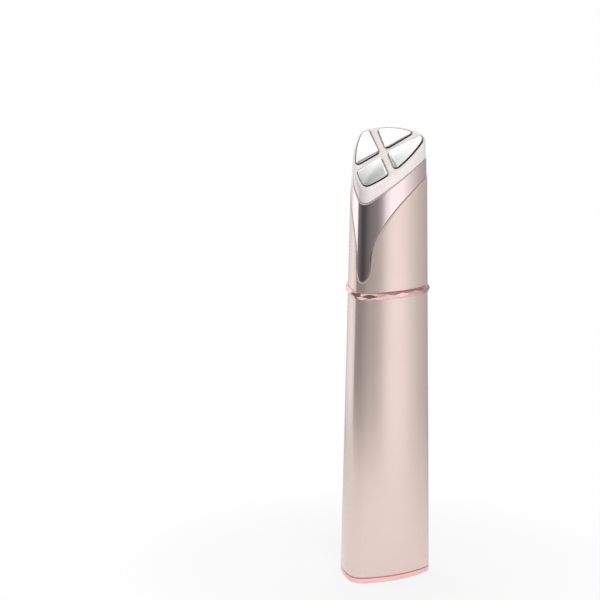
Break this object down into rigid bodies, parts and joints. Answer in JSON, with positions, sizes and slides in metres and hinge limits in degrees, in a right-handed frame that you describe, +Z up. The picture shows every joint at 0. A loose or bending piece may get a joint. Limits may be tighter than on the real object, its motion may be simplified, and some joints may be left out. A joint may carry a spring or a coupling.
{
  "type": "heated eye massager wand",
  "caption": "Tapered three-sided handheld wand with a sloping head of inset warm contact plates, a faceted ring, a power button and a charging inlet in its base.",
  "frame": {"origin": "on the long axis of the handle, in the plane of the flat base it stands on", "axes": "+Z up the long axis to the head; -Y towards the front ridge, the low end of the sloping face; +Y towards the flat back with the button; +X to the right when the front ridge is looked at"},
  "size_m": [0.0316, 0.0307, 0.1548],
  "materials": {
    "satin_shell": "fine champagne satin",
    "polished_metal": "mirror polish",
    "rose_metal": "rose gold, faceted and polished",
    "blush_gloss": "glossy, slightly milky",
    "cream_gloss": "glossy cream",
    "plate_metal": "softly polished",
    "button_metal": "satin rose",
    "gasket_rubber": "matt",
    "silicone": "matt",
    "film": "amber film",
    "circuit_board": "green solder mask",
    "gold_contact": "plated",
    "screw_steel": "dull",
    "switch_plastic": "matt",
    "white_plastic": "matt",
    "window_plastic": "milky window",
    "led_resin": "clear yellow",
    "socket_steel": "pressed sheet",
    "cell_wrap": "shrink sleeve",
    "motor_steel": "drawn can",
    "weight_metal": "sintered heavy metal",
    "grip_rubber": "matt"
  },
  "bodies": {
    "wand": {"base_cap": "blush_gloss", "base_gasket": "gasket_rubber", "lower_housing": "satin_shell", "accent_ring": "rose_metal", "upper_cover": "satin_shell", "polished_sleeve": "polished_metal", "head_frame": "cream_gloss", "front_plate": "plate_metal", "left_plate": "plate_metal", "right_plate": "plate_metal", "top_plate": "plate_metal", "heater_film": "film", "press_pad": "silicone", "head_board": "circuit_board", "contact_pins": "gold_contact", "head_screw": "screw_steel", "button_bezel": "rose_metal", "button_seal": "silicone", "switch_body": "switch_plastic", "indicator_lens": "window_plastic", "indicator_led": "led_resin", "charge_socket": "socket_steel", "charge_tongue": "switch_plastic", "main_board": "circuit_board", "board_screws": "screw_steel", "chassis": "white_plastic", "battery": "cell_wrap", "battery_contacts": "gold_contact", "motor_grip": "grip_rubber", "motor_can": "motor_steel", "head_ribbon": "film"},
    "button": {"power_button": "button_metal", "switch_plunger": "white_plastic"},
    "rotor": {"motor_shaft": "screw_steel", "motor_weight": "weight_metal"}
  },
  "joints": [
    {"name": "button_press", "type": "slide", "parent": "wand", "child": "button", "axis": [0, -1, 0], "range_m": [0, 0.0005], "stiffness_N_per_m": 2500},
    {"name": "motor_spin", "type": "hinge", "parent": "wand", "child": "rotor", "pos_m": [0, -0.002, 0.119], "axis": [0, 0, 1], "continuous": true}
  ]
}
